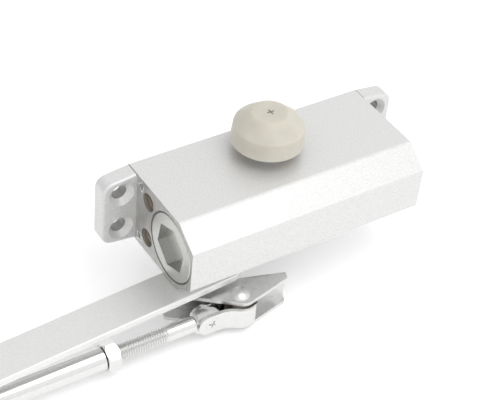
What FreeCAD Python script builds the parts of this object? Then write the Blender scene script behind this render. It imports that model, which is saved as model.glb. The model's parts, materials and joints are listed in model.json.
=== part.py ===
import FreeCAD, Part
import math
import os
from FreeCAD import Placement, Rotation, Vector

# Overhead door closer with its folded arm set, in millimetres and degrees.
# The origin is the centre of the four-screw pattern on the back face, which lies on the door.
# +X runs along the body, +Y into the door, +Z up along the pinion.

# Body: an aluminium extrusion with a flat screw lug at each end
BODY_LENGTH = 130.0
BODY_HEIGHT = 40.0
BODY_DEPTH = 59.1
FRONT_BEVEL_DEPTH = 12.9
FRONT_BEVEL_HEIGHT = 8.8
LONG_EDGE_BREAK = 0.6
LUG_THICKNESS = 8.2
LUG_INSET = 0.1
LUG_TAPER = 7.0
LUG_ROOT = 0.6
LUG_CORNER_RADIUS = 5.5
LUG_EDGE_RADIUS = 1.2
SCREW_FROM_BODY = 8.0
SCREW_TO_LUG_END = 9.6
SCREW_ROW_SPACING = 20.4
SCREW_HOLE_DIAMETER = 7.5
COUNTERSINK_DIAMETER = 13.0

# Cylinder and its screwed end plugs
BORE_WALL = 4.0
BORE_FRONT_WALL = 2.9
PLUG_THREAD_DEPTH = 1.1
PLUG_HEAD_LENGTH = 10.0
PLUG_SPIGOT_LENGTH = 4.0
PLUG_RIM_BREAK = 0.4
PLUG_MOUTH_CHAMFER = 0.8
HEX_SOCKET_FLATS = 21.0
HEX_SOCKET_DEPTH = 4.6
HEX_SOCKET_TURN = 10.0
PLUG_SEAL_CORD = 2.0

# Two regulating valves and the plugged oil galleries, in the left end face
VALVE_BEHIND_PLUG = 4.1
VALVE_FROM_EDGE = 9.0
VALVE_POCKET_DIAMETER = 9.5
VALVE_POCKET_DEPTH = 5.0
VALVE_RECESS = 1.8
VALVE_STEM_DIAMETER = 6.0
VALVE_STEM_LENGTH = 21.0
VALVE_NEEDLE_LENGTH = 5.0
VALVE_NEEDLE_TIP = 1.6
VALVE_HOLE_BEYOND_TIP = 2.0
VALVE_SLOT_WIDTH = 1.3
VALVE_SLOT_DEPTH = 1.2
VALVE_SLOT_TURN = 35.0
VALVE_SEAL_CORD = 1.4
VALVE_SEAL_FROM_HEAD = 7.0
GALLERY_BEHIND_VALVE = 7.0
GALLERY_FROM_EDGE = 4.7
GALLERY_DIAMETER = 3.4
GALLERY_DEPTH = 5.0
GALLERY_BALL_RECESS = 0.5

# Pinion and rack
PINION_X = -1.5
GEAR_MODULE = 1.25
GEAR_TEETH = 12
PRESSURE_ANGLE = 25.0
GEAR_BACKLASH = 0.12
GEAR_HEIGHT = 16.0
RACK_INSET = 2.8
OPENING_ANGLE = 180.0
PINION_SHOULDER_DIAMETER = 13.6
PINION_JOURNAL_DIAMETER = 12.0
PINION_SQUARE_FLATS = 9.0
PINION_SQUARE_LENGTH = 13.0
PINION_TAP_DIAMETER = 5.0
PINION_TAP_DEPTH = 11.0
PINION_TIP_BREAK = 0.5

# Pinion bearings, stacked outwards from the cylinder on both sides
PINION_WELL_DIAMETER = 20.0
BUSH_FROM_MIDDLE = 12.2
BUSH_LENGTH = 4.8
COLLAR_ABOVE_BODY = 5.0
COLLAR_SLOT_WIDTH = 3.0
COLLAR_SLOT_DEPTH = 1.5
SHAFT_SEAL_DIAMETER = 17.0
SHAFT_SEAL_HEIGHT = 3.6
PINION_CLEAR_OF_COLLAR = 2.0

# Piston, check valve and closing spring
PISTON_REST_GAP = 1.5
PISTON_WALL = 1.6
PISTON_SKIRT = 6.2
HOLLOW_FLOOR_FROM_RACK = 5.4
CHECK_POCKET_DIAMETER = 7.0
CHECK_POCKET_DEPTH = 8.0
CHECK_PORT_DIAMETER = 3.5
CHECK_BALL_DIAMETER = 5.5
CHECK_RING_BORE = 3.0
CHECK_RING_LENGTH = 1.5
SPRING_WIRE = 3.2
SPRING_TURNS = 11

# Plastic cap on the upper pinion end
CAP_RIM_DIAMETER = 35.6
CAP_SHOULDER_DIAMETER = 34.0
CAP_TOP_DIAMETER = 17.6
CAP_ABOVE_BODY = 6.5
CAP_BAND_HEIGHT = 8.9
CAP_CONE_HEIGHT = 6.9
CAP_WALL = 1.8
CAP_BOSS_DIAMETER = 14.6
CAP_BOSS_RECESS = 2.0
CAP_SHOULDER_RADIUS = 2.0
CAP_TOP_RADIUS = 2.6
CAP_MARK_LENGTH = 3.8
CAP_MARK_WIDTH = 0.7
CAP_MARK_DEPTH = 0.4

# Main arm: a flat bar that lies under the body with its square hole off the pinion
ARM_HOLE_X = -37.3
ARM_HOLE_Y = -42.5
ARM_UNDER_BODY = 0.3
ARM_ANGLE = 183.66
ARM_LENGTH = 200.0
ARM_WIDTH = 20.0
ARM_THICKNESS = 4.0
ARM_EDGE_RADIUS = 0.8
ARM_SQUARE_PLAY = 0.1

# Elbow: a riveted pivot
ELBOW_PIN_DIAMETER = 8.0
ELBOW_HEAD_DIAMETER = 14.0
ELBOW_HEAD_HEIGHT = 3.0
ELBOW_FOOT_HEIGHT = 2.0
ELBOW_HUB_DIAMETER = 16.0
ELBOW_WASHER_DIAMETER = 15.0
ELBOW_WASHER_THICKNESS = 0.8
ELBOW_BUSH_WALL = 1.2

# Forearm: sleeve, lock nut and threaded rod, measured from the elbow
FOREARM_ANGLE = -0.83
FOREARM_LENGTH = 200.7
SLEEVE_LENGTH = 128.6
SLEEVE_DIAMETER = 10.8
SLEEVE_BORE_DEPTH = 72.0
ROD_DIAMETER = 8.0
ROD_IN_SLEEVE = 46.0
LOCK_NUT_FLATS = 13.0
LOCK_NUT_HEIGHT = 6.5
LOCK_NUT_GAP = 0.4
LOCK_NUT_BREAK = 1.0

# Knuckle: a strap bent round the shoe's rivet, and the screw that carries the rod
STRAP_THICKNESS = 1.6
STRAP_HEIGHT = 11.2
STRAP_END_FROM_SCREW = 7.5
STRAP_BEND_RADIUS = 13.0
KNUCKLE_BUSH_DIAMETER = 14.2
KNUCKLE_SCREW_TO_RIVET = 16.8
KNUCKLE_SCREW_DIAMETER = 5.0
KNUCKLE_HEAD_DIAMETER = 7.0
RECESS_LENGTH = 4.4
RECESS_WIDTH = 0.9
RECESS_DEPTH = 2.0
RECESS_TURN = 20.0
TONGUE_THICKNESS = 5.8
TONGUE_PLAY = 0.1
TONGUE_HEIGHT = 10.4
TONGUE_END_FROM_SCREW = 6.4
TONGUE_CORNER_RADIUS = 3.0
SHOULDER_GAP = 0.8

# Shoe: a bent sheet bracket with two pointed ears
SHOE_ANGLE = -17.0
SHOE_UNDER_ARM = 2.5
SHOE_SHEET = 2.0
SHOE_LEFT_LENGTH = 34.3
SHOE_RIGHT_LENGTH = 25.4
SHOE_WEB_FROM_RIVET = 11.6
SHOE_END_DEPTH = 5.3
SHOE_NOSE_REACH = 7.2
SHOE_NOSE_OFFSET = 1.9
SHOE_NOSE_RADIUS = 6.0
SHOE_CORNER_RADIUS = 1.6
SHOE_BEND_RADIUS = 2.4
SHOE_HOLE_FROM_END = 6.5
SHOE_HOLE_DIAMETER = 5.2
RIVET_DIAMETER = 6.0
RIVET_HEAD_DIAMETER = 9.8
RIVET_HEAD_HEIGHT = 2.2
SHOE_WASHER_DIAMETER = 12.4
SHOE_WASHER_THICKNESS = 0.8

# Clearances: radial on turning and sliding fits, radial on fixed seats, and between flat faces
RUNNING_CLEARANCE = 0.05
SEAT_CLEARANCE = 0.03
FACE_GAP = 0.1

# Sizes and places that follow from the driving dimensions
X = Vector(1, 0, 0)
Y = Vector(0, 1, 0)
Z = Vector(0, 0, 1)
HALF_LENGTH = BODY_LENGTH / 2
HALF_HEIGHT = BODY_HEIGHT / 2
LUG_LENGTH = SCREW_FROM_BODY + SCREW_TO_LUG_END
LUG_HALF_HEIGHT = HALF_HEIGHT - LUG_INSET
SCREW_X = HALF_LENGTH + SCREW_FROM_BODY
SCREW_Z = SCREW_ROW_SPACING / 2

BORE_DIAMETER = BODY_HEIGHT - 2 * BORE_WALL
BORE_Y = -(BODY_DEPTH - BORE_FRONT_WALL - BORE_DIAMETER / 2)
PLUG_DIAMETER = BORE_DIAMETER + 2 * PLUG_THREAD_DEPTH
PLUG_LENGTH = PLUG_HEAD_LENGTH + PLUG_SPIGOT_LENGTH
PLUG_FACE_X = HALF_LENGTH - PLUG_LENGTH

VALVE_Y = BORE_Y + PLUG_DIAMETER / 2 + VALVE_BEHIND_PLUG
VALVE_Z = HALF_HEIGHT - VALVE_FROM_EDGE
VALVE_LENGTH = VALVE_POCKET_DEPTH - VALVE_RECESS + VALVE_STEM_LENGTH + VALVE_NEEDLE_LENGTH
GALLERY_Y = VALVE_Y + GALLERY_BEHIND_VALVE
GALLERY_Z = HALF_HEIGHT - GALLERY_FROM_EDGE

PITCH_RADIUS = GEAR_MODULE * GEAR_TEETH / 2
TIP_RADIUS = PITCH_RADIUS + GEAR_MODULE
ROOT_RADIUS = PITCH_RADIUS - 1.25 * GEAR_MODULE
RACK_PITCH = math.pi * GEAR_MODULE
RACK_Y = BORE_Y + BORE_DIAMETER / 2 - RACK_INSET
PINION_AXIS = Vector(PINION_X, RACK_Y + PITCH_RADIUS, 0)
PISTON_TRAVEL = math.radians(OPENING_ANGLE) * PITCH_RADIUS
RACK_SPACES_AHEAD = math.ceil(TIP_RADIUS / RACK_PITCH)
RACK_SPACES_BEHIND = math.ceil((TIP_RADIUS + PISTON_TRAVEL) / RACK_PITCH)
RACK_FIRST_X = PINION_X - (RACK_SPACES_BEHIND + 0.5) * RACK_PITCH
RACK_LAST_X = PINION_X + (RACK_SPACES_AHEAD - 0.5) * RACK_PITCH

COLLAR_FROM_MIDDLE = BUSH_FROM_MIDDLE + BUSH_LENGTH
COLLAR_TOP = HALF_HEIGHT + COLLAR_ABOVE_BODY
SQUARE_FROM_MIDDLE = COLLAR_TOP + PINION_CLEAR_OF_COLLAR
PINION_TIP = SQUARE_FROM_MIDDLE + PINION_SQUARE_LENGTH

PISTON_FIRST_X = -PLUG_FACE_X + PISTON_REST_GAP
PISTON_LAST_X = RACK_LAST_X + PISTON_SKIRT
HOLLOW_FLOOR_X = RACK_FIRST_X + HOLLOW_FLOOR_FROM_RACK
HOLLOW_RADIUS = BORE_DIAMETER / 2 - RACK_INSET - 1.25 * GEAR_MODULE - PISTON_WALL
SPRING_RADIUS = HOLLOW_RADIUS - 4 * RUNNING_CLEARANCE - SPRING_WIRE / 2

ARM_TOP_Z = -HALF_HEIGHT - ARM_UNDER_BODY
ARM_BOTTOM_Z = ARM_TOP_Z - ARM_THICKNESS
TONGUE_SHOULDER = STRAP_END_FROM_SCREW + SHOULDER_GAP
STRAP_HALF_GAP = TONGUE_THICKNESS / 2 + TONGUE_PLAY
STRAP_HALF_WIDTH = STRAP_HALF_GAP + STRAP_THICKNESS
LOOP_RADIUS = KNUCKLE_BUSH_DIAMETER / 2 + SEAT_CLEARANCE
SHOE_HALF_GAP = STRAP_HEIGHT / 2 + SHOE_WASHER_THICKNESS + 2 * FACE_GAP
SHOE_HALF_HEIGHT = SHOE_HALF_GAP + SHOE_SHEET
ROD_Z = ARM_BOTTOM_Z - SHOE_UNDER_ARM - SHOE_HALF_HEIGHT
FLOOR_Z = ROD_Z - SHOE_HALF_HEIGHT


def turned_towards(start, angle):
    """Placement of a local frame whose x axis points along a plan direction."""
    return Placement(start, Rotation(Z, angle))


ARM_FRAME = turned_towards(Vector(ARM_HOLE_X, ARM_HOLE_Y, 0), ARM_ANGLE)
ELBOW = ARM_FRAME.multVec(Vector(ARM_LENGTH, 0, 0))
FOREARM_FRAME = turned_towards(ELBOW + Vector(0, 0, ROD_Z), FOREARM_ANGLE)
RIVET = FOREARM_FRAME.multVec(Vector(FOREARM_LENGTH, 0, 0))
SHOE_FRAME = turned_towards(RIVET, SHOE_ANGLE)
KNUCKLE_SCREW_X = FOREARM_LENGTH - KNUCKLE_SCREW_TO_RIVET
SHOE_HOLES_X = (SHOE_HOLE_FROM_END - SHOE_LEFT_LENGTH, SHOE_RIGHT_LENGTH - SHOE_HOLE_FROM_END)


def in_frame(shape, frame):
    return shape.transformed(frame.toMatrix(), True)


def box(low, high):
    size = high - low
    return Part.makeBox(size.x, size.y, size.z, low)


def cylinder(diameter, start, direction, length):
    return Part.makeCylinder(diameter / 2, length, start, direction)


def prism(corners, sweep):
    return Part.Face(Part.makePolygon(corners + corners[:1])).extrude(sweep)


def flat_sided(flats, sides, turn, start, direction, length):
    """Prism with a regular outline, given across its flats."""
    radius = flats / 2 / math.cos(math.pi / sides)
    angles = [math.radians(turn + 360 * side / sides) for side in range(sides)]
    corners = [Vector(radius * math.cos(a), radius * math.sin(a), 0) for a in angles]
    return in_frame(prism(corners, Z * length), Placement(start, Rotation(Z, direction)))


def turned(profile, start, direction):
    """Solid of revolution from corners given as (distance along the axis, radius)."""
    ends = [Vector(0, 0, profile[0][0]), Vector(0, 0, profile[-1][0])]
    corners = [ends[0]] + [Vector(radius, 0, along) for along, radius in profile] + [ends[1]]
    face = Part.Face(Part.makePolygon(corners + corners[:1]))
    return in_frame(face.revolve(Vector(), Z, 360), Placement(start, Rotation(Z, direction)))


def ring(outer, inner, start, direction, length):
    return cylinder(outer, start, direction, length).cut(cylinder(inner, start, direction, length))


def dome(diameter, height, start, direction):
    """Rivet head: the cap of a ball, standing on a flat face."""
    radius = (diameter * diameter / 4 + height * height) / (2 * height)
    ball = Part.makeSphere(radius, start - direction * (radius - height))
    return ball.common(cylinder(diameter, start, direction, height))


def edges_where(shape, test):
    return [edge for edge in shape.Edges if test(edge.CenterOfMass)]


def near(value, target):
    return abs(value - target) < FACE_GAP / 10


def lug(side):
    """Flat screw lug that tapers outwards: the outer corners are round and the front rim is eased."""
    slope = math.tan(math.radians(LUG_TAPER))
    root = LUG_HALF_HEIGHT + LUG_ROOT * slope
    tip = LUG_HALF_HEIGHT - LUG_LENGTH * slope
    outline = [(-LUG_ROOT, -root), (LUG_LENGTH, -tip), (LUG_LENGTH, tip), (-LUG_ROOT, root)]
    plate = prism([Vector(x, 0, z) for x, z in outline], Y * -LUG_THICKNESS)
    corners = edges_where(plate, lambda c: near(c.x, LUG_LENGTH) and near(abs(c.z), tip))
    plate = plate.makeFillet(LUG_CORNER_RADIUS, corners)
    rim = edges_where(plate, lambda c: near(c.y, -LUG_THICKNESS) and c.x > 0)
    plate = plate.makeFillet(LUG_EDGE_RADIUS, rim)
    if side < 0:
        plate = plate.mirror(Vector(), X)
    plate.translate(X * side * HALF_LENGTH)
    return plate


def screw_hole(side, level):
    start = Vector(side * SCREW_X, 0, level * SCREW_Z)
    hole = cylinder(SCREW_HOLE_DIAMETER, start, -Y, LUG_THICKNESS)
    sink_depth = (COUNTERSINK_DIAMETER - SCREW_HOLE_DIAMETER) / 2
    sink = Part.makeCone(COUNTERSINK_DIAMETER / 2, SCREW_HOLE_DIAMETER / 2, sink_depth,
                         start - Y * LUG_THICKNESS, Y)
    return hole.fuse(sink)


def valve_hole(level):
    start = Vector(-HALF_LENGTH, VALVE_Y, level * VALVE_Z)
    depth = VALVE_RECESS + VALVE_LENGTH + VALVE_HOLE_BEYOND_TIP
    pocket = cylinder(VALVE_POCKET_DIAMETER, start, X, VALVE_POCKET_DEPTH)
    return pocket.fuse(cylinder(VALVE_STEM_DIAMETER, start, X, depth))


def gallery_hole(level):
    start = Vector(-HALF_LENGTH, GALLERY_Y, level * GALLERY_Z)
    return cylinder(GALLERY_DIAMETER, start, X, GALLERY_DEPTH)


def closer_body():
    flat_y = -(BODY_DEPTH - FRONT_BEVEL_DEPTH)
    face_z = HALF_HEIGHT - FRONT_BEVEL_HEIGHT
    upper = [(0, HALF_HEIGHT), (flat_y, HALF_HEIGHT), (-BODY_DEPTH, face_z)]
    outline = upper + [(y, -z) for y, z in reversed(upper)]
    body = prism([Vector(-HALF_LENGTH, y, z) for y, z in outline], X * BODY_LENGTH)
    long_edges = edges_where(body, lambda c: near(c.y, flat_y) and near(c.x, 0))
    body = body.makeChamfer(LONG_EDGE_BREAK, long_edges)
    body = body.fuse([lug(-1), lug(1)])
    cuts = [cylinder(BORE_DIAMETER, Vector(-HALF_LENGTH, BORE_Y, 0), X, BODY_LENGTH)]
    cuts.append(cylinder(PINION_WELL_DIAMETER, PINION_AXIS - Z * HALF_HEIGHT, Z, BODY_HEIGHT))
    for side in (-1, 1):
        start = Vector(side * HALF_LENGTH, BORE_Y, 0)
        seat = PLUG_DIAMETER / 2 + SEAT_CLEARANCE
        cuts.append(cylinder(2 * seat, start, X * -side, PLUG_HEAD_LENGTH))
        cuts.append(Part.makeCone(seat + PLUG_MOUTH_CHAMFER, seat, PLUG_MOUTH_CHAMFER, start, X * -side))
        cuts += [screw_hole(side, level) for level in (-1, 1)]
    for level in (-1, 1):
        cuts += [valve_hole(level), gallery_hole(level)]
    return body.cut(cuts).removeSplitter()


def end_plug(side):
    """Screwed plug with a hexagon socket and a sealed spigot."""
    head = PLUG_DIAMETER / 2
    spigot = BORE_DIAMETER / 2 - SEAT_CLEARANCE
    groove = BORE_DIAMETER / 2 - PLUG_SEAL_CORD - 2 * RUNNING_CLEARANCE
    groove_start = PLUG_HEAD_LENGTH + (PLUG_SPIGOT_LENGTH - PLUG_SEAL_CORD) / 2 - FACE_GAP
    groove_end = groove_start + PLUG_SEAL_CORD + 2 * FACE_GAP
    profile = [(0, head - PLUG_RIM_BREAK), (PLUG_RIM_BREAK, head), (PLUG_HEAD_LENGTH, head),
               (PLUG_HEAD_LENGTH, spigot), (groove_start, spigot), (groove_start, groove),
               (groove_end, groove), (groove_end, spigot), (PLUG_LENGTH, spigot)]
    start = Vector(side * HALF_LENGTH, BORE_Y, 0)
    socket = flat_sided(HEX_SOCKET_FLATS, 6, HEX_SOCKET_TURN, start, X * -side, HEX_SOCKET_DEPTH)
    return turned(profile, start, X * -side).cut(socket)


def plug_seals():
    """The two rubber rings in the plugs' grooves."""
    middle = HALF_LENGTH - PLUG_HEAD_LENGTH - PLUG_SPIGOT_LENGTH / 2
    radius = BORE_DIAMETER / 2 - PLUG_SEAL_CORD / 2 - RUNNING_CLEARANCE
    rings = [Part.makeTorus(radius, PLUG_SEAL_CORD / 2, Vector(side * middle, BORE_Y, 0), X)
             for side in (-1, 1)]
    return Part.makeCompound(rings)


def gallery_plugs():
    """Two steel balls pressed into the ends of the oil galleries."""
    diameter = GALLERY_DIAMETER - 2 * SEAT_CLEARANCE
    middle = -HALF_LENGTH + GALLERY_BALL_RECESS + diameter / 2
    balls = [Part.makeSphere(diameter / 2, Vector(middle, GALLERY_Y, level * GALLERY_Z)) for level in (-1, 1)]
    return Part.makeCompound(balls)


def valve_screw(level):
    """Slotted needle valve in its pocket."""
    head = VALVE_POCKET_DIAMETER / 2 - 3 * RUNNING_CLEARANCE
    head_length = VALVE_POCKET_DEPTH - VALVE_RECESS - FACE_GAP
    stem = VALVE_STEM_DIAMETER / 2 - RUNNING_CLEARANCE
    groove = stem - VALVE_SEAL_CORD - RUNNING_CLEARANCE
    seal_start = VALVE_SEAL_FROM_HEAD - VALVE_SEAL_CORD / 2 - FACE_GAP
    seal_end = VALVE_SEAL_FROM_HEAD + VALVE_SEAL_CORD / 2 + FACE_GAP
    profile = [(0, head), (head_length, head), (head_length, stem), (head_length + seal_start, stem),
               (head_length + seal_start, groove), (head_length + seal_end, groove),
               (head_length + seal_end, stem), (VALVE_LENGTH - VALVE_NEEDLE_LENGTH, stem),
               (VALVE_LENGTH, VALVE_NEEDLE_TIP / 2)]
    start = Vector(-HALF_LENGTH + VALVE_RECESS, VALVE_Y, level * VALVE_Z)
    slot = box(Vector(0, -head, -VALVE_SLOT_WIDTH / 2), Vector(VALVE_SLOT_DEPTH, head, VALVE_SLOT_WIDTH / 2))
    slot = in_frame(slot, Placement(start, Rotation(X, VALVE_SLOT_TURN)))
    return turned(profile, start, X).cut(slot)


def valve_seal(level):
    radius = VALVE_STEM_DIAMETER / 2 - RUNNING_CLEARANCE - VALVE_SEAL_CORD / 2
    along = -HALF_LENGTH + VALVE_POCKET_DEPTH - FACE_GAP + VALVE_SEAL_FROM_HEAD
    return Part.makeTorus(radius, VALVE_SEAL_CORD / 2, Vector(along, VALVE_Y, level * VALVE_Z), X)


def involute(angle):
    return math.tan(angle) - angle


def pinion_gear():
    """Involute teeth, one of them pointing straight at the rack."""
    pressure = math.radians(PRESSURE_ANGLE)
    base_radius = PITCH_RADIUS * math.cos(pressure)
    half_tooth = math.pi / (2 * GEAR_TEETH) - GEAR_BACKLASH / (4 * PITCH_RADIUS)
    flank_steps = 4
    radii = [base_radius + (TIP_RADIUS - base_radius) * step / flank_steps for step in range(flank_steps + 1)]

    def polar(radius, angle):
        return Vector(radius * math.cos(angle), radius * math.sin(angle), 0)

    def half_angle(radius):
        return half_tooth + involute(pressure) - involute(math.acos(base_radius / radius))

    def flank(centre, side):
        curve = Part.BSplineCurve()
        curve.interpolate([polar(radius, centre + side * half_angle(radius)) for radius in radii])
        return curve.toShape()

    edges = []
    foot = half_angle(base_radius)
    tip = half_angle(TIP_RADIUS)
    pitch_angle = 2 * math.pi / GEAR_TEETH
    for tooth in range(GEAR_TEETH):
        centre = tooth * pitch_angle - math.pi / 2
        following = centre + pitch_angle
        edges.append(Part.makeLine(polar(ROOT_RADIUS, centre - foot), polar(base_radius, centre - foot)))
        edges.append(flank(centre, -1))
        edges.append(Part.Arc(polar(TIP_RADIUS, centre - tip), polar(TIP_RADIUS, centre),
                              polar(TIP_RADIUS, centre + tip)).toShape())
        edges.append(flank(centre, 1))
        edges.append(Part.makeLine(polar(base_radius, centre + foot), polar(ROOT_RADIUS, centre + foot)))
        edges.append(Part.Arc(polar(ROOT_RADIUS, centre + foot), polar(ROOT_RADIUS, centre + pitch_angle / 2),
                              polar(ROOT_RADIUS, following - foot)).toShape())
    face = Part.Face(Part.Wire(Part.__sortEdges__(edges)))
    gear = face.extrude(Z * GEAR_HEIGHT)
    gear.translate(PINION_AXIS - Z * (GEAR_HEIGHT / 2))
    return gear


def pinion_shaft():
    """Pinion with its journals and a square, tapped end above and below."""
    middle = PINION_AXIS
    journal = PINION_JOURNAL_DIAMETER / 2
    shaft = pinion_gear()
    holes = []
    for up in (Z, -Z):
        shoulder_end = BUSH_FROM_MIDDLE - FACE_GAP
        shoulder = PINION_SHOULDER_DIAMETER / 2
        stem = turned([(GEAR_HEIGHT / 2, shoulder), (shoulder_end, shoulder), (shoulder_end, journal),
                       (SQUARE_FROM_MIDDLE, journal)], middle, up)
        square = flat_sided(PINION_SQUARE_FLATS, 4, 45, middle + up * SQUARE_FROM_MIDDLE, up, PINION_SQUARE_LENGTH)
        rounding = turned([(0, journal), (PINION_SQUARE_LENGTH - PINION_TIP_BREAK, journal),
                           (PINION_SQUARE_LENGTH, journal - PINION_TIP_BREAK)], middle + up * SQUARE_FROM_MIDDLE, up)
        shaft = shaft.fuse([stem, square.common(rounding)])
        holes.append(cylinder(PINION_TAP_DIAMETER, middle + up * PINION_TIP, -up, PINION_TAP_DEPTH))
    return shaft.cut(holes).removeSplitter()


def pinion_bush(up):
    outer = PINION_WELL_DIAMETER - 2 * SEAT_CLEARANCE
    inner = PINION_JOURNAL_DIAMETER + 2 * RUNNING_CLEARANCE
    return ring(outer, inner, PINION_AXIS + up * BUSH_FROM_MIDDLE, up, BUSH_LENGTH)


def bearing_collar(up):
    """Slotted collar screwed into the pinion well, with the shaft seal's pocket in its outer end."""
    start = PINION_AXIS + up * COLLAR_FROM_MIDDLE
    length = COLLAR_TOP - COLLAR_FROM_MIDDLE
    top = start + up * length
    outer = PINION_WELL_DIAMETER - 2 * SEAT_CLEARANCE
    collar = ring(outer, PINION_JOURNAL_DIAMETER + 6 * RUNNING_CLEARANCE, start, up, length)
    pocket = cylinder(SHAFT_SEAL_DIAMETER, top, -up, SHAFT_SEAL_HEIGHT + FACE_GAP)
    slot = box(Vector(-outer, -COLLAR_SLOT_WIDTH / 2, 0), Vector(outer, COLLAR_SLOT_WIDTH / 2, COLLAR_SLOT_DEPTH))
    slot = in_frame(slot, Placement(top, Rotation(Z, -up)))
    return collar.cut([pocket, slot])


def shaft_seal(up):
    top = PINION_AXIS + up * COLLAR_TOP
    outer = SHAFT_SEAL_DIAMETER - 2 * SEAT_CLEARANCE
    inner = PINION_JOURNAL_DIAMETER + 2 * RUNNING_CLEARANCE
    height = SHAFT_SEAL_HEIGHT - COLLAR_SLOT_DEPTH
    return ring(outer, inner, top - up * SHAFT_SEAL_HEIGHT, up, height)


def rack_space(index):
    """Straight-flanked gap between two rack teeth."""
    slope = math.tan(math.radians(PRESSURE_ANGLE))
    half_width = RACK_PITCH / 4 + GEAR_BACKLASH / 4
    above = BORE_DIAMETER / 2
    below = 1.25 * GEAR_MODULE
    middle = PINION_X + index * RACK_PITCH
    top = half_width + above * slope
    bottom = half_width - below * slope
    corners = [Vector(middle - top, RACK_Y + above, 0), Vector(middle - bottom, RACK_Y - below, 0),
               Vector(middle + bottom, RACK_Y - below, 0), Vector(middle + top, RACK_Y + above, 0)]
    gap = prism(corners, Z * BORE_DIAMETER)
    gap.translate(Z * -BORE_DIAMETER / 2)
    zone = box(Vector(RACK_FIRST_X, RACK_Y - BORE_DIAMETER, -BORE_DIAMETER),
               Vector(RACK_LAST_X, RACK_Y + BORE_DIAMETER, BORE_DIAMETER))
    return gap.common(zone)


def piston():
    """Piston with the rack milled in its back, hollow for the spring, with a check valve in its head."""
    radius = BORE_DIAMETER / 2 - RUNNING_CLEARANCE
    head = Vector(PISTON_FIRST_X, BORE_Y, 0)
    blank = cylinder(2 * radius, head, X, PISTON_LAST_X - PISTON_FIRST_X)
    tips = RACK_Y + GEAR_MODULE
    cuts = [box(Vector(RACK_FIRST_X, tips, -radius), Vector(RACK_LAST_X, tips + radius, radius))]
    cuts += [rack_space(index) for index in range(-RACK_SPACES_BEHIND, RACK_SPACES_AHEAD)]
    cuts.append(cylinder(2 * HOLLOW_RADIUS, Vector(HOLLOW_FLOOR_X, BORE_Y, 0), X, PISTON_LAST_X - HOLLOW_FLOOR_X))
    cuts.append(cylinder(CHECK_POCKET_DIAMETER, head, X, CHECK_POCKET_DEPTH))
    cuts.append(cylinder(CHECK_PORT_DIAMETER, head, X, HOLLOW_FLOOR_X - PISTON_FIRST_X))
    return blank.cut(cuts)


def check_ball():
    ball = CHECK_BALL_DIAMETER / 2
    lift = math.sqrt(ball * ball - CHECK_PORT_DIAMETER * CHECK_PORT_DIAMETER / 4)
    seat = PISTON_FIRST_X + CHECK_POCKET_DEPTH
    return Part.makeSphere(ball, Vector(seat - lift - RUNNING_CLEARANCE, BORE_Y, 0))


def check_ring():
    outer = CHECK_POCKET_DIAMETER - 2 * SEAT_CLEARANCE
    return ring(outer, CHECK_RING_BORE, Vector(PISTON_FIRST_X, BORE_Y, 0), X, CHECK_RING_LENGTH)


def main_spring():
    """Closing spring between the piston's hollow and the right-hand plug."""
    first = HOLLOW_FLOOR_X + 3 * FACE_GAP + SPRING_WIRE / 2
    last = PLUG_FACE_X - 3 * FACE_GAP - SPRING_WIRE / 2
    length = last - first
    helix = Part.makeHelix(length / SPRING_TURNS, length, SPRING_RADIUS)
    wire = Part.Wire(Part.Circle(Vector(SPRING_RADIUS, 0, 0), Y, SPRING_WIRE / 2).toShape())
    coil = Part.Wire(helix).makePipeShell([wire], True, True)
    return in_frame(coil, Placement(Vector(first, BORE_Y, 0), Rotation(Z, X)))


def spindle_cap():
    """Shouldered plastic cap with a square socket that pushes on the upper pinion end."""
    base = PINION_AXIS + Z * (HALF_HEIGHT + CAP_ABOVE_BODY)
    height = CAP_BAND_HEIGHT + CAP_CONE_HEIGHT
    shoulder = CAP_SHOULDER_DIAMETER / 2
    top = CAP_TOP_DIAMETER / 2
    cap = turned([(0, CAP_RIM_DIAMETER / 2), (CAP_BAND_HEIGHT, shoulder), (height, top)], base, Z)
    cap = cap.makeFillet(CAP_SHOULDER_RADIUS, edges_where(cap, lambda c: near(c.z, base.z + CAP_BAND_HEIGHT)))
    cap = cap.makeFillet(CAP_TOP_RADIUS, edges_where(cap, lambda c: near(c.z, base.z + height)))
    ceiling = height - CAP_WALL
    hollow = turned([(0, CAP_RIM_DIAMETER / 2 - CAP_WALL), (CAP_BAND_HEIGHT - CAP_WALL / 2, shoulder - CAP_WALL),
                     (ceiling, top - CAP_WALL / 2)], base, Z)
    boss_start = base + Z * CAP_BOSS_RECESS
    boss = cylinder(CAP_BOSS_DIAMETER, boss_start, Z, ceiling - CAP_BOSS_RECESS)
    socket_depth = PINION_TIP + FACE_GAP - boss_start.z
    socket = flat_sided(PINION_SQUARE_FLATS + 2 * RUNNING_CLEARANCE, 4, 45, boss_start, Z, socket_depth)
    marks = []
    for turn in (0, 90):
        bar = box(Vector(-CAP_MARK_LENGTH / 2, -CAP_MARK_WIDTH / 2, -CAP_MARK_DEPTH),
                  Vector(CAP_MARK_LENGTH / 2, CAP_MARK_WIDTH / 2, 0))
        marks.append(in_frame(bar, Placement(base + Z * height, Rotation(Z, turn))))
    return cap.cut(hollow.cut(boss)).cut([socket] + marks)


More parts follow.
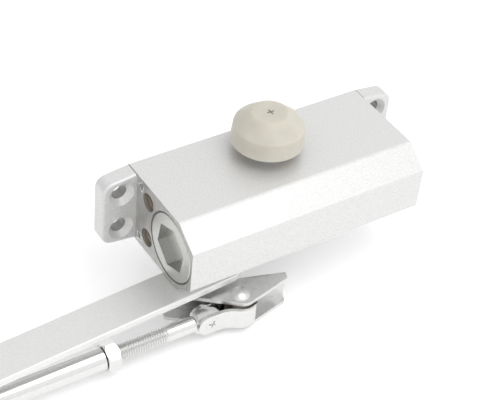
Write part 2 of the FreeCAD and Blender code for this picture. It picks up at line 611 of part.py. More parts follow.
def main_arm():
    """Flat bar with round ends, a square hole for the pinion and a round one for the elbow pin."""
    half = ARM_WIDTH / 2
    bar = box(Vector(0, -half, ARM_BOTTOM_Z), Vector(ARM_LENGTH, half, ARM_TOP_Z))
    ends = [cylinder(ARM_WIDTH, Vector(x, 0, ARM_BOTTOM_Z), Z, ARM_THICKNESS) for x in (0, ARM_LENGTH)]
    bar = bar.fuse(ends).removeSplitter()
    rims = edges_where(bar, lambda c: near(c.z, ARM_BOTTOM_Z) or near(c.z, ARM_TOP_Z))
    bar = bar.makeFillet(ARM_EDGE_RADIUS, rims)
    square = flat_sided(PINION_SQUARE_FLATS + ARM_SQUARE_PLAY, 4, 45, Vector(0, 0, ARM_BOTTOM_Z), Z, ARM_THICKNESS)
    pin_hole = cylinder(ELBOW_PIN_DIAMETER + 2 * SEAT_CLEARANCE, Vector(ARM_LENGTH, 0, ARM_BOTTOM_Z), Z, ARM_THICKNESS)
    return in_frame(bar.cut([square, pin_hole]), ARM_FRAME)


def elbow_rivet():
    top = ELBOW + Z * ARM_TOP_Z
    foot = ELBOW + Z * FLOOR_Z
    head = dome(ELBOW_HEAD_DIAMETER, ELBOW_HEAD_HEIGHT, top, Z)
    pin = cylinder(ELBOW_PIN_DIAMETER, foot, Z, ARM_TOP_Z - FLOOR_Z)
    flange = cylinder(ELBOW_HEAD_DIAMETER, foot, Z, ELBOW_FOOT_HEIGHT)
    return head.fuse([pin, flange]).removeSplitter()


ELBOW_HUB_TOP = ARM_BOTTOM_Z - ELBOW_WASHER_THICKNESS - 2 * FACE_GAP
ELBOW_HUB_BOTTOM = FLOOR_Z + ELBOW_FOOT_HEIGHT + FACE_GAP
ELBOW_BUSH_BORE = ELBOW_PIN_DIAMETER + 2 * RUNNING_CLEARANCE
ELBOW_BUSH_DIAMETER = ELBOW_BUSH_BORE + 2 * ELBOW_BUSH_WALL


def elbow_washer():
    start = ELBOW + Z * (ARM_BOTTOM_Z - FACE_GAP)
    inner = ELBOW_PIN_DIAMETER + 2 * RUNNING_CLEARANCE
    return ring(ELBOW_WASHER_DIAMETER, inner, start, -Z, ELBOW_WASHER_THICKNESS)


def elbow_bush():
    start = ELBOW + Z * ELBOW_HUB_BOTTOM
    return ring(ELBOW_BUSH_DIAMETER, ELBOW_BUSH_BORE, start, Z, ELBOW_HUB_TOP - ELBOW_HUB_BOTTOM)


def forearm_sleeve():
    """Tube on the elbow hub, bored to take the threaded rod."""
    bottom = Vector(0, 0, ELBOW_HUB_BOTTOM - ROD_Z)
    height = ELBOW_HUB_TOP - ELBOW_HUB_BOTTOM
    hub = cylinder(ELBOW_HUB_DIAMETER, bottom, Z, height)
    tube = cylinder(SLEEVE_DIAMETER, Vector(), X, SLEEVE_LENGTH)
    bush_hole = cylinder(ELBOW_BUSH_DIAMETER + 2 * SEAT_CLEARANCE, bottom, Z, height)
    rod_hole = cylinder(ROD_DIAMETER + 2 * RUNNING_CLEARANCE, Vector(SLEEVE_LENGTH, 0, 0), -X, SLEEVE_BORE_DEPTH)
    return in_frame(hub.fuse(tube).cut([bush_hole, rod_hole]).removeSplitter(), FOREARM_FRAME)


def lock_nut():
    start = Vector(SLEEVE_LENGTH + LOCK_NUT_GAP, 0, 0)
    hexagon = flat_sided(LOCK_NUT_FLATS, 6, 0, start, X, LOCK_NUT_HEIGHT)
    face = LOCK_NUT_FLATS / 2
    corner = face / math.cos(math.pi / 6)
    drop = LOCK_NUT_BREAK * (corner - face)
    rounding = turned([(0, face), (drop, corner), (LOCK_NUT_HEIGHT - drop, corner), (LOCK_NUT_HEIGHT, face)], start, X)
    bore = cylinder(ROD_DIAMETER + 4 * RUNNING_CLEARANCE, start, X, LOCK_NUT_HEIGHT)
    return in_frame(hexagon.common(rounding).cut(bore), FOREARM_FRAME)


def threaded_rod():
    """Rod that screws into the sleeve, with a flat tongue for the knuckle, its corners round."""
    start = Vector(SLEEVE_LENGTH - ROD_IN_SLEEVE, 0, 0)
    screw = Vector(KNUCKLE_SCREW_X, 0, 0)
    half = TONGUE_THICKNESS / 2
    rod = cylinder(ROD_DIAMETER, start, X, screw.x - TONGUE_SHOULDER - start.x)
    tongue = box(screw - Vector(TONGUE_SHOULDER, half, TONGUE_HEIGHT / 2),
                 screw + Vector(TONGUE_END_FROM_SCREW, half, TONGUE_HEIGHT / 2))
    corners = edges_where(tongue, lambda c: near(c.y, 0) and near(abs(c.z), TONGUE_HEIGHT / 2))
    tongue = tongue.makeFillet(TONGUE_CORNER_RADIUS, corners)
    hole = cylinder(KNUCKLE_SCREW_DIAMETER + 2 * RUNNING_CLEARANCE, screw - Y * half, Y, TONGUE_THICKNESS)
    return in_frame(rod.fuse(tongue).cut(hole).removeSplitter(), FOREARM_FRAME)


def knuckle_strap():
    """Strap looped round the rivet's bush, drawn in to two round-ended legs at the screw."""
    half = STRAP_HEIGHT / 2
    loop_centre = Vector(FOREARM_LENGTH, 0, -half)
    outer_radius = LOOP_RADIUS + STRAP_THICKNESS
    leg_end = KNUCKLE_SCREW_X - STRAP_END_FROM_SCREW
    end_centre = Vector(leg_end + half, 0, 0)

    def keyhole(leg, radius, bend):
        legs = box(Vector(leg_end, -leg, -half), Vector(FOREARM_LENGTH, leg, half))
        solid = legs.fuse(cylinder(2 * radius, loop_centre, Z, STRAP_HEIGHT)).removeSplitter()
        corner_x = FOREARM_LENGTH - math.sqrt(radius * radius - leg * leg)
        corners = edges_where(solid, lambda c: near(c.x, corner_x) and near(abs(c.y), leg) and near(c.z, 0))
        return solid.makeFillet(bend, corners)

    outer = keyhole(STRAP_HALF_WIDTH, outer_radius, STRAP_BEND_RADIUS)
    strap = outer.cut(keyhole(STRAP_HALF_GAP, LOOP_RADIUS, STRAP_BEND_RADIUS + STRAP_THICKNESS))
    side = box(Vector(end_centre.x, -outer_radius, -half),
               Vector(FOREARM_LENGTH + outer_radius, outer_radius, half))
    side = side.fuse(cylinder(STRAP_HEIGHT, end_centre - Y * outer_radius, Y, 2 * outer_radius))
    hole = knuckle_screw_shape(SEAT_CLEARANCE)
    return in_frame(strap.common(side).cut(hole).removeSplitter(), FOREARM_FRAME)


def knuckle_screw_shape(clearance):
    """Countersunk screw, flush with both sides of the strap."""
    head = KNUCKLE_HEAD_DIAMETER / 2 + clearance
    shank = KNUCKLE_SCREW_DIAMETER / 2 + clearance
    profile = [(0, head), (head - shank, shank), (2 * STRAP_HALF_WIDTH, shank)]
    return turned(profile, Vector(KNUCKLE_SCREW_X, -STRAP_HALF_WIDTH, 0), Y)


def knuckle_screw():
    """The cross recess in its head narrows to a point."""
    face = Vector(KNUCKLE_SCREW_X, -STRAP_HALF_WIDTH, 0)
    half = RECESS_LENGTH / 2
    corners = [Vector(-half, 0, -RECESS_WIDTH / 2), Vector(half, 0, -RECESS_WIDTH / 2),
               Vector(0, RECESS_DEPTH, -RECESS_WIDTH / 2)]
    wing = prism(corners, Z * RECESS_WIDTH)
    wings = [in_frame(wing, Placement(face, Rotation(Y, RECESS_TURN + quarter))) for quarter in (0, 90)]
    return in_frame(knuckle_screw_shape(0).cut(wings), FOREARM_FRAME)


def knuckle_bush():
    start = RIVET - Z * STRAP_HEIGHT / 2
    return ring(KNUCKLE_BUSH_DIAMETER, RIVET_DIAMETER + 2 * RUNNING_CLEARANCE, start, Z, STRAP_HEIGHT)


def shoe():
    """Bracket of bent sheet: an upright web for the screws and two pointed ears that hold the rivet."""
    back = SHOE_WEB_FROM_RIVET
    end = back - SHOE_END_DEPTH
    nose = -SHOE_NOSE_REACH
    bottom = -SHOE_HALF_HEIGHT
    outline = [(-SHOE_LEFT_LENGTH, back), (-SHOE_LEFT_LENGTH, end), (SHOE_NOSE_OFFSET, nose),
               (SHOE_RIGHT_LENGTH, end), (SHOE_RIGHT_LENGTH, back)]
    bracket = prism([Vector(x, y, bottom) for x, y in outline], Z * 2 * SHOE_HALF_HEIGHT)
    bracket = bracket.makeFillet(SHOE_NOSE_RADIUS, edges_where(bracket, lambda c: near(c.y, nose) and near(c.z, 0)))
    corners = edges_where(bracket, lambda c: near(c.y, end) and near(c.z, 0))
    bracket = bracket.makeFillet(SHOE_CORNER_RADIUS, corners)
    bends = edges_where(bracket, lambda c: near(c.y, back) and near(abs(c.z), SHOE_HALF_HEIGHT))
    bracket = bracket.makeFillet(SHOE_BEND_RADIUS, bends)
    channel = box(Vector(-SHOE_LEFT_LENGTH, nose, -SHOE_HALF_GAP),
                  Vector(SHOE_RIGHT_LENGTH, back - SHOE_SHEET, SHOE_HALF_GAP))
    holes = [channel, cylinder(RIVET_DIAMETER + 2 * SEAT_CLEARANCE, Z * bottom, Z, 2 * SHOE_HALF_HEIGHT)]
    holes += [cylinder(SHOE_HOLE_DIAMETER, Vector(x, back, 0), -Y, SHOE_SHEET) for x in SHOE_HOLES_X]
    return in_frame(bracket.cut(holes).removeSplitter(), SHOE_FRAME)


def shoe_rivet():
    bottom = RIVET - Z * SHOE_HALF_HEIGHT
    pin = cylinder(RIVET_DIAMETER, bottom, Z, 2 * SHOE_HALF_HEIGHT)
    return pin.fuse(dome(RIVET_HEAD_DIAMETER, RIVET_HEAD_HEIGHT, RIVET + Z * SHOE_HALF_HEIGHT, Z)).removeSplitter()


def shoe_washers():
    """One thrust washer under each ear."""
    rings = []
    inner = RIVET_DIAMETER + 2 * SEAT_CLEARANCE
    for up in (Z, -Z):
        start = RIVET + up * (STRAP_HEIGHT / 2 + FACE_GAP)
        rings.append(ring(SHOE_WASHER_DIAMETER, inner, start, up, SHOE_WASHER_THICKNESS))
    return Part.makeCompound(rings)


PARTS = {
    "closer_body": closer_body(),
    "left_end_plug": end_plug(-1),
    "right_end_plug": end_plug(1),
    "plug_seals": plug_seals(),
    "gallery_plugs": gallery_plugs(),
    "upper_pinion_bush": pinion_bush(Z),
    "lower_pinion_bush": pinion_bush(-Z),
    "upper_bearing_collar": bearing_collar(Z),
    "lower_bearing_collar": bearing_collar(-Z),
    "upper_shaft_seal": shaft_seal(Z),
    "lower_shaft_seal": shaft_seal(-Z),
    "main_spring": main_spring(),
    "pinion_shaft": pinion_shaft(),
    "spindle_cap": spindle_cap(),
    "piston": piston(),
    "check_ball": check_ball(),
    "check_ring": check_ring(),
    "closing_valve": valve_screw(1),
    "closing_valve_seal": valve_seal(1),
    "latching_valve": valve_screw(-1),
    "latching_valve_seal": valve_seal(-1),
    "main_arm": main_arm(),
    "elbow_rivet": elbow_rivet(),
    "elbow_washer": elbow_washer(),
    "elbow_bush": elbow_bush(),
    "forearm_sleeve": forearm_sleeve(),
    "lock_nut": lock_nut(),
    "threaded_rod": threaded_rod(),
    "knuckle_strap": knuckle_strap(),
    "knuckle_screw": knuckle_screw(),
    "knuckle_bush": knuckle_bush(),
    "shoe": shoe(),
    "shoe_rivet": shoe_rivet(),
    "shoe_washers": shoe_washers(),
}

os.makedirs("parts", exist_ok=True)
for node, shape in PARTS.items():
    shape.exportStep(os.path.join("parts", node + ".step"))
    print(node, len(shape.Solids), shape.isValid(), round(shape.Volume, 1))
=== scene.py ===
"""Looks of the overhead door closer: silver body, cream cap, and the bright arm set on a white table."""
import json
import math

import bmesh
import bpy
from mathutils import Matrix, Vector


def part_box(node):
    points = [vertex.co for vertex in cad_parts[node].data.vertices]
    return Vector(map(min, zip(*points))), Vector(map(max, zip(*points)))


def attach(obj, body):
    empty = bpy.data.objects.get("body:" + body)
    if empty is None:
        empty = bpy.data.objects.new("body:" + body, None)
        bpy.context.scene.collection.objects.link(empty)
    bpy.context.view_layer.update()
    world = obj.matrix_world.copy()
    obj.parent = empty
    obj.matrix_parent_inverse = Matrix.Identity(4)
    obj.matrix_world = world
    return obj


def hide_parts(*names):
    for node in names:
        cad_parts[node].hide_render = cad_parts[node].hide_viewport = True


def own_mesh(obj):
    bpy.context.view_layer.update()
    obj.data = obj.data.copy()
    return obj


MM = 0.001

# Mesh cleaning: angles in degrees, distance in millimetres
CREASE_ANGLE = 35
FLAT_ANGLE = 0.3
WELD_DISTANCE = 0.001

# Camera, in the row frame
IMAGE_WIDTH = 500
FOCAL_PIXELS = 1386.1
SENSOR_WIDTH = 36.0
CAMERA_PLACE = (-0.31317, -0.42832, 0.4336)
CAMERA_RIGHT = (0.84004, -0.53585, 0.08478)
CAMERA_UP = (0.30025, 0.58935, 0.75001)
CAMERA_BACK = (-0.45186, -0.60459, 0.65597)
NEAR_CLIP = 0.01
FAR_CLIP = 20

# Table, room light and lamp, in metres and watts; the room's light leans to the right, front and top
TABLE_HALF_SIDE = 3.0
TABLE_GAP = 0.0002
TABLE_COLOUR = (0.94, 0.94, 0.94, 1)
TABLE_ROUGHNESS = 0.7
TABLE_LIFT = 0.22
WHITE = (1, 1, 1, 1)
ROOM_LEVEL = 0.74
ROOM_LEAN = (0.15, -0.21, 0.19)
LAMP_PLACE = (0.15, -0.33, 0.92)
LAMP_AIM = (0, -0.03, 0)
LAMP_SIDE = 0.7
LAMP_POWER = 2.1

# Forearm: the rod's axis runs from the elbow, and distances along it are in millimetres
ELBOW = Vector((-236.89, -55.27, -35.40))
FOREARM_ANGLE = math.radians(-0.83)
ROD_RADIUS = 4.0
ROD_START = 82.6

# Thread: its crests and roots are flat for a share of the pitch, and its ends run out
THREAD_END = 162.0
THREAD_PITCH = 1.25
THREAD_DEPTH = 0.66
THREAD_FLAT = 0.1
THREAD_RUN_OUT = 2 * THREAD_PITCH
THREAD_ROOT_RADIUS = 3.62
THREAD_RINGS_PER_PITCH = 10
THREAD_POINTS_AROUND = 32

# Body: its end faces, and the thin band there that counts as milled
END_FACE_X = 65.0
MILLED_BAND = 0.1
MILLED_FACING = 0.9

# Plug mouths in the end faces: their axis, and the rim of their chamfer, which is painted with shade
PLUG_AXIS_Y = -40.2
PLUG_MOUTH_RADIUS = 17.95
PLUG_MOUTH_DEPTH = 1.2

# Drilled walls of the lugs' screw holes, and of the valve pockets, which are painted with shade
SCREW_X = 73.0
SCREW_Z = 10.2
SCREW_HOLE_RADIUS = 3.8
VALVE_Y = -19.0
VALVE_Z = 11.0
VALVE_POCKET_RADIUS = 4.8

# Seam between the body and its lugs, where a thin line of painted shade stands for the shadow of the small
# step
SEAM_WIDTH = 0.5
SEAM_ABOVE_Z = 19.0

# Staked metal: uneven lumps in a ring round each gallery plug of the left end face
GALLERY_Y = -12.0
GALLERY_Z = 15.3
STAKE_LUMPS = 7
STAKE_TURN_WANDER = 0.3
STAKE_TURN_WAVE = 5
STAKE_REACH = 2.1
STAKE_REACH_WANDER = 0.35
STAKE_REACH_WAVE = 3.7
STAKE_WIDTH = 0.62
STAKE_WIDTH_WANDER = 0.18
STAKE_WIDTH_WAVE = 2.3
STAKE_HEIGHT = 0.3
STAKE_LENGTH = 0.75

# Cap on the spindle, with a small cross sunk in its top
SPINDLE = (-1.5, -19.5, 0)
CAP_TOP_Z = 42.3
CAP_MARK_SUNK = 0.1
CAP_MARK_REACH = 2.4

# Looks of the body; pairs of tones run from dark to light
SATIN_TONES = ((0.71, 0.71, 0.705), (0.85, 0.85, 0.845))
# The milled tones are partly the greyer milled finish and partly painted shade, which darkens the end faces
MILLED_AND_SHADE_TONES = ((0.44, 0.435, 0.42), (0.56, 0.555, 0.54))
# Painted shade: the plug mouths' chamfers, the walls of the screw holes and valve pockets, and the lug
# seams
PLUG_MOUTH_SHADE_TONE = (0.16, 0.16, 0.15)
SCREW_WALL_SHADE_TONE = (0.4, 0.395, 0.385)
VALVE_WALL_SHADE_TONE = (0.38, 0.355, 0.32)
SEAM_SHADE_TONE = (0.3, 0.3, 0.29)
SATIN_METALLIC = 0.35
MILLED_METALLIC = 0.6
SATIN_ROUGHNESS = (0.34, 0.44)
SATIN_GRAIN = 1400.0
SATIN_RELIEF = 0.35
MILLED_GRAIN = 900.0
MILLED_STRETCH = (0.2, 1, 0.2)

# Looks of the cap and the rubber; light reaches into the cap by its depth in metres
CREAM_TONES = ((0.615, 0.585, 0.51), (0.66, 0.632, 0.555))
# Painted shade, dark brown, in the small cross sunk in the cap's top
CROSS_SHADE_TONE = (0.3, 0.23, 0.14)
CREAM_CLOUD = 120.0
CREAM_GRAIN = 2500.0
CREAM_RELIEF = 0.08
CREAM_ROUGHNESS = (0.4, 0.5)
CREAM_DEPTH = (0.005, 0.004, 0.0028)
CREAM_MILKINESS = 0.6
RUBBER_TONES = ((0.02, 0.02, 0.02), (0.04, 0.04, 0.04))
RUBBER_GRAIN = 900.0
RUBBER_ROUGHNESS = (0.5, 0.7)

# Grain: noise outside its low and high takes the end tone, and the relief's depth is in metres
NOISE_LOW = 0.3
NOISE_HIGH = 0.7
METAL_DETAIL = 3.0
RELIEF_DEPTH = 0.0001

# Plain metals: tones, roughness, grain and relief
METALS = {
    "arm_silver": {
        "tones": ((0.82, 0.82, 0.81), (0.9, 0.9, 0.89)),
        "roughness": (0.4, 0.5),
        "grain": 1800.0,
        "relief": 0.2,
        "metallic": 0.7,
    },
    "turned_alloy": {
        "tones": ((0.54, 0.54, 0.52), (0.64, 0.64, 0.62)),
        "roughness": (0.3, 0.42),
        "grain": 900.0,
        "relief": 0.15,
    },
    "bright_plate": {
        "tones": ((0.75, 0.75, 0.745), (0.8, 0.8, 0.79)),
        "roughness": (0.17, 0.21),
        "grain": 900.0,
        "relief": 0.04,
    },
    "satin_plate": {
        "tones": ((0.7, 0.7, 0.695), (0.78, 0.78, 0.77)),
        "roughness": (0.3, 0.4),
        "grain": 500.0,
        "relief": 0.12,
    },
    # Painted shade in the thread's grooves: the faces below the root radius take these darker tones
    "thread_root_shade": {
        "tones": ((0.66, 0.66, 0.65), (0.76, 0.76, 0.75)),
        "roughness": (0.3, 0.45),
        "grain": 700.0,
        "relief": 0.15,
    },
    "oiled_brass": {
        "tones": ((0.34, 0.3, 0.25), (0.5, 0.45, 0.39)),
        "roughness": (0.3, 0.45),
        "grain": 700.0,
        "relief": 0.2,
    },
    # Painted shade: the knuckle's bush is this dark to stand for the shade in the gap round it
    "bush_bronze": {
        "tones": ((0.16, 0.14, 0.12), (0.26, 0.23, 0.2)),
        "roughness": (0.35, 0.5),
        "grain": 1500.0,
        "relief": 0.2,
    },
    "gear_steel": {
        "tones": ((0.4, 0.4, 0.39), (0.52, 0.52, 0.51)),
        "roughness": (0.28, 0.42),
        "grain": 800.0,
        "relief": 0.15,
    },
    "spring_steel": {
        "tones": ((0.2, 0.2, 0.19), (0.3, 0.29, 0.28)),
        "roughness": (0.3, 0.45),
        "grain": 800.0,
        "relief": 0.15,
    },
}


def set_inputs(target, **values):
    """Sets a node's sockets by name."""
    for name, value in values.items():
        target.inputs[name.replace("_", " ")].default_value = value


def new_material(name):
    material = bpy.data.materials.new(name)
    material.use_nodes = True
    tree = material.node_tree
    return material, tree, tree.nodes["Principled BSDF"]


def noise(tree, scale, detail=2.0, stretch=(1, 1, 1)):
    """Noise in object space, so it stays with the piece."""
    place = tree.nodes.new("ShaderNodeTexCoord")
    mapping = tree.nodes.new("ShaderNodeMapping")
    texture = tree.nodes.new("ShaderNodeTexNoise")
    set_inputs(mapping, Scale=stretch)
    set_inputs(texture, Scale=scale, Detail=detail)
    tree.links.new(place.outputs["Object"], mapping.inputs["Vector"])
    tree.links.new(mapping.outputs["Vector"], texture.inputs["Vector"])
    return texture.outputs["Fac"]


def spread(tree, value, low, high):
    """Maps a noise value to a range."""
    ranged = tree.nodes.new("ShaderNodeMapRange")
    set_inputs(ranged, From_Min=NOISE_LOW, From_Max=NOISE_HIGH, To_Min=low, To_Max=high)
    tree.links.new(value, ranged.inputs["Value"])
    return ranged.outputs["Result"]


def tint(tree, value, tones):
    """Colour that wanders between two tones with a noise value."""
    ramp = tree.nodes.new("ShaderNodeValToRGB")
    for stop, position, tone in zip(ramp.color_ramp.elements, (NOISE_LOW, NOISE_HIGH), tones):
        stop.position = position
        stop.color = (*tone, 1)
    tree.links.new(value, ramp.inputs["Fac"])
    return ramp.outputs["Color"]


def bump(tree, shader, height, strength):
    relief = tree.nodes.new("ShaderNodeBump")
    set_inputs(relief, Strength=strength, Distance=RELIEF_DEPTH)
    tree.links.new(height, relief.inputs["Height"])
    tree.links.new(relief.outputs["Normal"], shader.inputs["Normal"])


def math_node(tree, operation, first, second):
    """Works out one operation; the second value is a socket or a fixed number."""
    made = tree.nodes.new("ShaderNodeMath")
    made.operation = operation
    tree.links.new(first, made.inputs[0])
    if isinstance(second, float):
        made.inputs[1].default_value = second
    else:
        tree.links.new(second, made.inputs[1])
    return made.outputs[0]


def above(tree, socket, level):
    return math_node(tree, "GREATER_THAN", socket, level)


def below(tree, socket, level):
    return math_node(tree, "LESS_THAN", socket, level)


def both(tree, first, second):
    return math_node(tree, "MULTIPLY", first, second)


def size_of(tree, socket):
    return math_node(tree, "ABSOLUTE", socket, 0.0)


def split(tree, vector):
    parts = tree.nodes.new("ShaderNodeSeparateXYZ")
    tree.links.new(vector, parts.inputs[0])
    return parts.outputs


def from_axis(tree, vector, keep, axis):
    """Distance from an axis, with the coordinate along it dropped; the axis is given in millimetres."""
    across = tree.nodes.new("ShaderNodeMapping")
    set_inputs(across, Scale=keep)
    tree.links.new(vector, across.inputs["Vector"])
    distance = tree.nodes.new("ShaderNodeVectorMath")
    distance.operation = "DISTANCE"
    distance.inputs[1].default_value = Vector(axis) * MM
    tree.links.new(across.outputs["Vector"], distance.inputs[0])
    return distance.outputs["Value"]


def mixed(tree, mask, plain, marked):
    """Plain colour that turns to the marked one where the mask is 1; the marked one may be a fixed tone."""
    mix = tree.nodes.new("ShaderNodeMix")
    mix.data_type = "RGBA"
    tree.links.new(mask, mix.inputs["Factor"])
    tree.links.new(plain, mix.inputs["A"])
    if isinstance(marked, tuple):
        mix.inputs["B"].default_value = (*marked, 1)
    else:
        tree.links.new(marked, mix.inputs["B"])
    return mix.outputs["Result"]


def metal(name, tones, roughness, grain, relief, metallic=1.0):
    """Metal with a fine grain in its tone, gloss and surface."""
    material, tree, shader = new_material(name)
    set_inputs(shader, Metallic=metallic)
    value = noise(tree, grain, detail=METAL_DETAIL)
    tree.links.new(tint(tree, value, tones), shader.inputs["Base Color"])
    tree.links.new(spread(tree, value, *roughness), shader.inputs["Roughness"])
    bump(tree, shader, value, relief)
    return material


def milled_faces(tree, place):
    """1 on the body's two end faces."""
    off_middle = size_of(tree, split(tree, place.outputs["Object"])["X"])
    endwards = above(tree, size_of(tree, split(tree, place.outputs["Normal"])["X"]), MILLED_FACING)
    beyond_skin = above(tree, off_middle, (END_FACE_X - MILLED_BAND) * MM)
    before_lug = below(tree, off_middle, (END_FACE_X + MILLED_BAND) * MM)
    return both(tree, endwards, both(tree, beyond_skin, before_lug))


def painted_shade_places(tree, place):
    """Masks and tones of painted shade in the plug mouths, on the drilled walls and along the lug seams;
    left and right are alike.
    """
    fold = tree.nodes.new("ShaderNodeVectorMath")
    fold.operation = "ABSOLUTE"
    tree.links.new(place.outputs["Object"], fold.inputs[0])
    folded = fold.outputs["Vector"]
    at = split(tree, folded)

    # Painted shade in the chamfer of each plug mouth
    from_plug = from_axis(tree, place.outputs["Object"], (0, 1, 1), (0, PLUG_AXIS_Y, 0))
    near_end = above(tree, at["X"], (END_FACE_X - PLUG_MOUTH_DEPTH) * MM)
    plug_mouth = both(tree, near_end, below(tree, from_plug, PLUG_MOUTH_RADIUS * MM))

    # Painted shade on the drilled walls of the lugs' screw holes
    from_screw = from_axis(tree, folded, (1, 0, 1), (SCREW_X, 0, SCREW_Z))
    screw_wall = below(tree, from_screw, SCREW_HOLE_RADIUS * MM)

    # Painted shade on the walls of the valve pockets
    from_valve = from_axis(tree, folded, (0, 1, 1), (0, abs(VALVE_Y), VALVE_Z))
    valve_wall = below(tree, from_valve, VALVE_POCKET_RADIUS * MM)

    # Painted shade line on the lug just past the body's end, near its top, at the seam's small step
    past_body = above(tree, at["X"], END_FACE_X * MM)
    before_seam_end = below(tree, at["X"], (END_FACE_X + SEAM_WIDTH) * MM)
    near_edge = above(tree, at["Z"], SEAM_ABOVE_Z * MM)
    seam = both(tree, both(tree, past_body, before_seam_end), near_edge)

    return [
        (plug_mouth, PLUG_MOUTH_SHADE_TONE),
        (screw_wall, SCREW_WALL_SHADE_TONE),
        (valve_wall, VALVE_WALL_SHADE_TONE),
        (seam, SEAM_SHADE_TONE),
    ]


def body_metal():
    """Satin extrusion; its milled ends are greyer with fine cutter marks and darker with painted shade, and
    its plug mouths, holes and seams are darker with painted shade.
    """
    material, tree, shader = new_material("silver_satin")
    place = tree.nodes.new("ShaderNodeTexCoord")
    milled = milled_faces(tree, place)
    grain = noise(tree, SATIN_GRAIN, detail=METAL_DETAIL)
    marks = noise(tree, MILLED_GRAIN, stretch=MILLED_STRETCH)
    colour = mixed(tree, milled, tint(tree, grain, SATIN_TONES), tint(tree, marks, MILLED_AND_SHADE_TONES))
    for mask, tone in painted_shade_places(tree, place):
        colour = mixed(tree, mask, colour, tone)
    tree.links.new(colour, shader.inputs["Base Color"])
    metallic = tree.nodes.new("ShaderNodeMapRange")
    set_inputs(metallic, To_Min=SATIN_METALLIC, To_Max=MILLED_METALLIC)
    tree.links.new(milled, metallic.inputs["Value"])
    tree.links.new(metallic.outputs["Result"], shader.inputs["Metallic"])
    tree.links.new(spread(tree, grain, *SATIN_ROUGHNESS), shader.inputs["Roughness"])
    bump(tree, shader, grain, SATIN_RELIEF)
    return material


def cap_plastic():
    """Milky cream plastic, with painted shade, dark brown, in the small cross sunk in its top."""
    material, tree, shader = new_material("cream_plastic")
    set_inputs(shader, Subsurface_Weight=CREAM_MILKINESS, Subsurface_Scale=1.0)
    set_inputs(shader, Subsurface_Radius=CREAM_DEPTH)
    cream = tint(tree, noise(tree, CREAM_CLOUD), CREAM_TONES)
    place = tree.nodes.new("ShaderNodeTexCoord")
    # Painted shade in the sunk cross: below the top and near the spindle's axis
    sunk = below(tree, split(tree, place.outputs["Object"])["Z"], (CAP_TOP_Z - CAP_MARK_SUNK) * MM)
    from_spindle = from_axis(tree, place.outputs["Object"], (1, 1, 0), SPINDLE)
    cross = both(tree, sunk, below(tree, from_spindle, CAP_MARK_REACH * MM))
    tree.links.new(mixed(tree, cross, cream, CROSS_SHADE_TONE), shader.inputs["Base Color"])
    fine = noise(tree, CREAM_GRAIN)
    tree.links.new(spread(tree, fine, *CREAM_ROUGHNESS), shader.inputs["Roughness"])
    bump(tree, shader, fine, CREAM_RELIEF)
    return material


def seal_rubber():
    material, tree, shader = new_material("seal_rubber")
    value = noise(tree, RUBBER_GRAIN)
    tree.links.new(tint(tree, value, RUBBER_TONES), shader.inputs["Base Color"])
    tree.links.new(spread(tree, value, *RUBBER_ROUGHNESS), shader.inputs["Roughness"])
    return material


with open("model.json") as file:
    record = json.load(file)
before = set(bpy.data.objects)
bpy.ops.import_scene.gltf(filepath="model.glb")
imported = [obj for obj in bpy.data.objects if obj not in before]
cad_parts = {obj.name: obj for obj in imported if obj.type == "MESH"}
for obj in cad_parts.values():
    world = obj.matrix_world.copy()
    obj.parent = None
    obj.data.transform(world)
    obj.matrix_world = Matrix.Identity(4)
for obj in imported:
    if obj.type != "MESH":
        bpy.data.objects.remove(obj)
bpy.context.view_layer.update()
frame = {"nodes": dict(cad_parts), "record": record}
nodes = frame["nodes"]
metals = {name: metal(name, **finish) for name, finish in METALS.items()}

SLOT_MATERIALS = {
    "silver_paint": body_metal(),
    "plug_metal": metals["turned_alloy"],
    "zinc_plate": metals["bright_plate"],
    "valve_brass": metals["oiled_brass"],
    "gear_steel": metals["gear_steel"],
    "bush_bronze": metals["bush_bronze"],
    "seal_rubber": seal_rubber(),
    "spring_steel": metals["spring_steel"],
    "cap_plastic": cap_plastic(),
}
OWN_MATERIALS = {
    "main_arm": metals["arm_silver"],
    "shoe": metals["satin_plate"],
    "shoe_rivet": metals["satin_plate"],
}
for part in frame["record"]["subparts"]:
    materials = nodes[part["node"]].data.materials
    materials.clear()
    materials.append(OWN_MATERIALS.get(part["node"], SLOT_MATERIALS[part["material_slot"]]))


def link(thing):
    bpy.context.scene.collection.objects.link(thing)


def mesh_object(name, bm, material):
    mesh = bpy.data.meshes.new(name)
    bm.to_mesh(mesh)
    bm.free()
    mesh.materials.append(material)
    made = bpy.data.objects.new(name, mesh)
    link(made)
    return made


def add_piece(name, bm, material, body):
    piece = mesh_object(name, bm, material)
    for face in piece.data.polygons:
        face.use_smooth = True
    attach(piece, body)
    return piece


def keep_creases(piece):
    piece.data.set_sharp_from_angle(angle=math.radians(CREASE_ANGLE))


def forearm_matrix():
    """Millimetres along the forearm to metres in the row frame."""
    turn = Matrix.Rotation(FOREARM_ANGLE, 4, "Z")
    return Matrix.Scale(MM, 4) @ Matrix.Translation(ELBOW) @ turn


def thread_ring(bm, along):
    """Points round the rod at one distance along it."""
    from_thread_end = min(along - ROD_START, THREAD_END - along)
    depth = THREAD_DEPTH * min(1.0, from_thread_end / THREAD_RUN_OUT)
    ring = []
    for point in range(THREAD_POINTS_AROUND):
        share = point / THREAD_POINTS_AROUND
        phase = (along / THREAD_PITCH - share) % 1.0
        flank = (abs(2 * phase - 1) - THREAD_FLAT) / (1 - 2 * THREAD_FLAT)
        radius = ROD_RADIUS - depth * min(1.0, max(0.0, flank))
        angle = 2 * math.pi * share
        ring.append(bm.verts.new((along, radius * math.cos(angle), radius * math.sin(angle))))
    return ring


